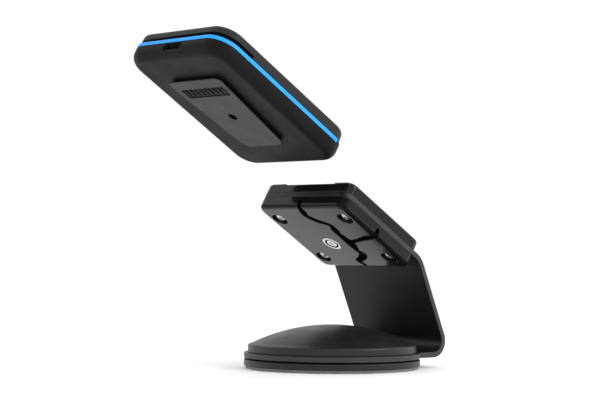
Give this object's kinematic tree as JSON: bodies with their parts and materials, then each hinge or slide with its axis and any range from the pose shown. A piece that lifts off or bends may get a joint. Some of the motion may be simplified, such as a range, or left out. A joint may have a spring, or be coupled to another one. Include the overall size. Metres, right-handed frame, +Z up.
{
  "type": "card payment terminal",
  "caption": "Card payment terminal in a banded protective case, shown slid out of its tilted locking dock on a bent-plate swivel stand.",
  "frame": {"origin": "centre of the round base on the surface it rests on", "axes": "+Z up; the upright stands on the -Y side and the dock and the terminal rise towards +Y; X runs across the dock and the terminal"},
  "size_m": [0.128, 0.2268, 0.2335],
  "materials": {
    "foot_pad": "matt ribbed rubber",
    "base_steel": "satin black powder coat",
    "zinc_steel": "zinc plated",
    "nylon": "natural nylon",
    "plate_steel": "satin black powder coat",
    "dome_plastic": "satin moulded black",
    "ballast": "rough cast",
    "dock_plastic": "polished moulded black",
    "pad_strip": "low-friction strip",
    "stainless": "polished stainless",
    "brass": "machined",
    "case_plastic": "fine moulded texture",
    "slide_metal": "fine matt dark grey",
    "accent_blue": "bright satin blue",
    "guide_plastic": "dark navy black",
    "window_glass": "polished screen cover",
    "screen": "display module",
    "silicone": "soft silicone",
    "board": "solder mask",
    "cell": "battery sleeve",
    "port_metal": "stamped steel",
    "key_plastic": "satin keycap",
    "key_red": "satin red keycap",
    "key_yellow": "satin yellow keycap",
    "key_green": "satin green keycap",
    "button_plastic": "satin black"
  },
  "bodies": {
    "base": {"foot_pad": "foot_pad", "base_disc": "base_steel", "swivel_bolt": "zinc_steel", "swivel_washer": "nylon", "thrust_washer": "zinc_steel", "swivel_nut": "zinc_steel"},
    "stand": {"stand_plate": "plate_steel", "dome_cover": "dome_plastic", "ballast_weight": "ballast", "base_screws": "zinc_steel", "dock_tray": "dock_plastic", "channel_pads": "pad_strip", "dock_cover": "dock_plastic", "dock_screws": "stainless", "lock_housing": "stainless"},
    "lock": {"lock_plug": "stainless", "lock_cam": "brass"},
    "bolt": {"lock_bolt": "stainless"},
    "terminal": {"case_back": "case_plastic", "slide_plate": "slide_metal", "plate_screws": "zinc_steel", "accent_band": "accent_blue", "swipe_guide": "guide_plastic", "mag_head": "port_metal", "top_cover": "case_plastic", "display_window": "window_glass", "display_module": "screen", "keypad_membrane": "silicone", "main_board": "board", "battery": "cell", "chip_reader": "port_metal", "port_board": "board", "usb_connector": "port_metal", "speaker": "guide_plastic", "antenna_board": "board", "power_switch": "port_metal"},
    "power_key": {"power_button": "button_plastic"},
    "key_1_body": {"key_1": "key_plastic"},
    "key_2_body": {"key_2": "key_plastic"},
    "key_3_body": {"key_3": "key_plastic"},
    "key_4_body": {"key_4": "key_plastic"},
    "key_5_body": {"key_5": "key_plastic"},
    "key_6_body": {"key_6": "key_plastic"},
    "key_7_body": {"key_7": "key_plastic"},
    "key_8_body": {"key_8": "key_plastic"},
    "key_9_body": {"key_9": "key_plastic"},
    "key_star_body": {"key_star": "key_plastic"},
    "key_0_body": {"key_0": "key_plastic"},
    "key_hash_body": {"key_hash": "key_plastic"},
    "key_cancel_body": {"key_cancel": "key_red"},
    "key_clear_body": {"key_clear": "key_yellow"},
    "key_enter_body": {"key_enter": "key_green"}
  },
  "joints": [
    {"name": "swivel", "type": "hinge", "parent": "base", "child": "stand", "pos_m": [0, 0, 0], "axis": [0, 0, 1], "continuous": true},
    {"name": "terminal_slide", "type": "slide", "parent": "stand", "child": "terminal", "axis": [0, 0.8526, 0.5225], "range_m": [-0.1279, 0]},
    {"name": "lock_turn", "type": "hinge", "parent": "stand", "child": "lock", "pos_m": [0.008, -0.01377, 0.10139], "axis": [0, -0.5225, 0.8526], "range_deg": [0, 90]},
    {"name": "bolt_lift", "type": "slide", "parent": "stand", "child": "bolt", "axis": [0, -0.5225, 0.8526], "range_m": [0, 0.003]},
    {"name": "power_press", "type": "slide", "parent": "terminal", "child": "power_key", "axis": [-1, 0, 0], "range_m": [0, 0.0008], "stiffness_N_per_m": 800, "springref_m": -0.0003},
    {"name": "key_1_press", "type": "slide", "parent": "terminal", "child": "key_1_body", "axis": [0, 0.5225, -0.8526], "range_m": [0, 0.001], "stiffness_N_per_m": 600, "springref_m": -0.0003},
    {"name": "key_2_press", "type": "slide", "parent": "terminal", "child": "key_2_body", "axis": [0, 0.5225, -0.8526], "range_m": [0, 0.001], "stiffness_N_per_m": 600, "springref_m": -0.0003},
    {"name": "key_3_press", "type": "slide", "parent": "terminal", "child": "key_3_body", "axis": [0, 0.5225, -0.8526], "range_m": [0, 0.001], "stiffness_N_per_m": 600, "springref_m": -0.0003},
    {"name": "key_4_press", "type": "slide", "parent": "terminal", "child": "key_4_body", "axis": [0, 0.5225, -0.8526], "range_m": [0, 0.001], "stiffness_N_per_m": 600, "springref_m": -0.0003},
    {"name": "key_5_press", "type": "slide", "parent": "terminal", "child": "key_5_body", "axis": [0, 0.5225, -0.8526], "range_m": [0, 0.001], "stiffness_N_per_m": 600, "springref_m": -0.0003},
    {"name": "key_6_press", "type": "slide", "parent": "terminal", "child": "key_6_body", "axis": [0, 0.5225, -0.8526], "range_m": [0, 0.001], "stiffness_N_per_m": 600, "springref_m": -0.0003},
    {"name": "key_7_press", "type": "slide", "parent": "terminal", "child": "key_7_body", "axis": [0, 0.5225, -0.8526], "range_m": [0, 0.001], "stiffness_N_per_m": 600, "springref_m": -0.0003},
    {"name": "key_8_press", "type": "slide", "parent": "terminal", "child": "key_8_body", "axis": [0, 0.5225, -0.8526], "range_m": [0, 0.001], "stiffness_N_per_m": 600, "springref_m": -0.0003},
    {"name": "key_9_press", "type": "slide", "parent": "terminal", "child": "key_9_body", "axis": [0, 0.5225, -0.8526], "range_m": [0, 0.001], "stiffness_N_per_m": 600, "springref_m": -0.0003},
    {"name": "key_star_press", "type": "slide", "parent": "terminal", "child": "key_star_body", "axis": [0, 0.5225, -0.8526], "range_m": [0, 0.001], "stiffness_N_per_m": 600, "springref_m": -0.0003},
    {"name": "key_0_press", "type": "slide", "parent": "terminal", "child": "key_0_body", "axis": [0, 0.5225, -0.8526], "range_m": [0, 0.001], "stiffness_N_per_m": 600, "springref_m": -0.0003},
    {"name": "key_hash_press", "type": "slide", "parent": "terminal", "child": "key_hash_body", "axis": [0, 0.5225, -0.8526], "range_m": [0, 0.001], "stiffness_N_per_m": 600, "springref_m": -0.0003},
    {"name": "key_cancel_press", "type": "slide", "parent": "terminal", "child": "key_cancel_body", "axis": [0, 0.5225, -0.8526], "range_m": [0, 0.001], "stiffness_N_per_m": 600, "springref_m": -0.0003},
    {"name": "key_clear_press", "type": "slide", "parent": "terminal", "child": "key_clear_body", "axis": [0, 0.5225, -0.8526], "range_m": [0, 0.001], "stiffness_N_per_m": 600, "springref_m": -0.0003},
    {"name": "key_enter_press", "type": "slide", "parent": "terminal", "child": "key_enter_body", "axis": [0, 0.5225, -0.8526], "range_m": [0, 0.001], "stiffness_N_per_m": 600, "springref_m": -0.0003}
  ],
  "couplings": [
    {"joint": "bolt_lift", "follows": "lock_turn", "m_per_rad": 0.0019099}
  ]
}
